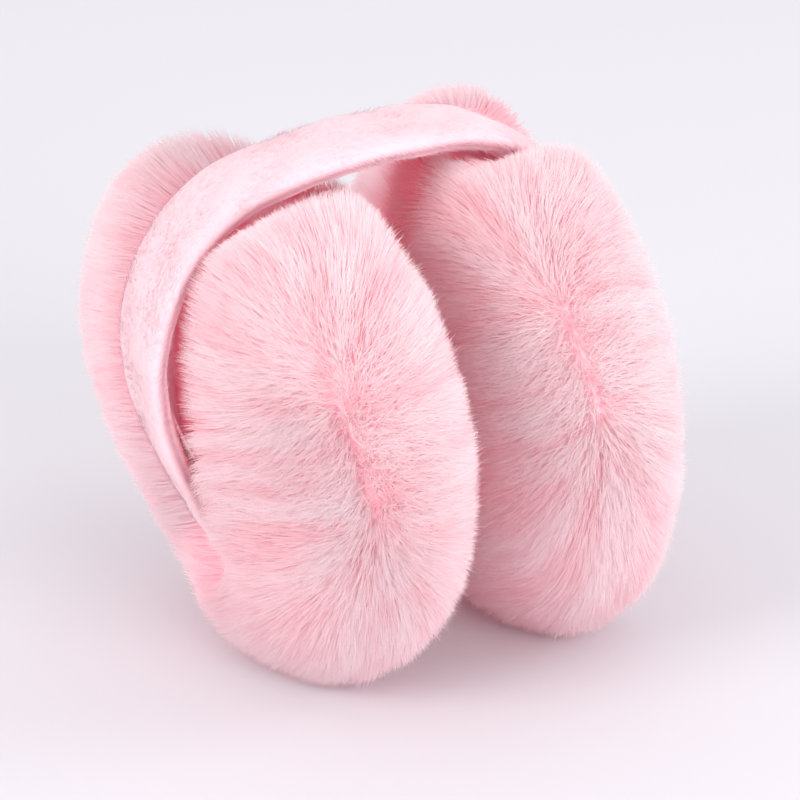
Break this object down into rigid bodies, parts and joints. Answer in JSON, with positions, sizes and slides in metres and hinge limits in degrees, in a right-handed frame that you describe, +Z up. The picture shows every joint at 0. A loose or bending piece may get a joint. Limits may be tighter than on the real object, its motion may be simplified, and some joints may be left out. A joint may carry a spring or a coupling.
{
  "type": "fur earmuffs, folded",
  "caption": "Plush fur earmuffs lying folded: round deep-pile pads turned in side by side under a narrow padded headband that arches over them.",
  "frame": {"origin": "on the ground under the middle of the whole, folded as it lies", "axes": "+X from one pad to the other along the arch, +Y to the back, +Z up"},
  "size_m": [0.1304, 0.123, 0.1247],
  "materials": {
    "fur": "deep soft pile, pale pink tips over rose roots",
    "plush": "short brushed pile, matte"
  },
  "bodies": {
    "root": {"headband": "plush", "left_pad": "fur", "right_pad": "fur"}
  },
  "joints": []
}
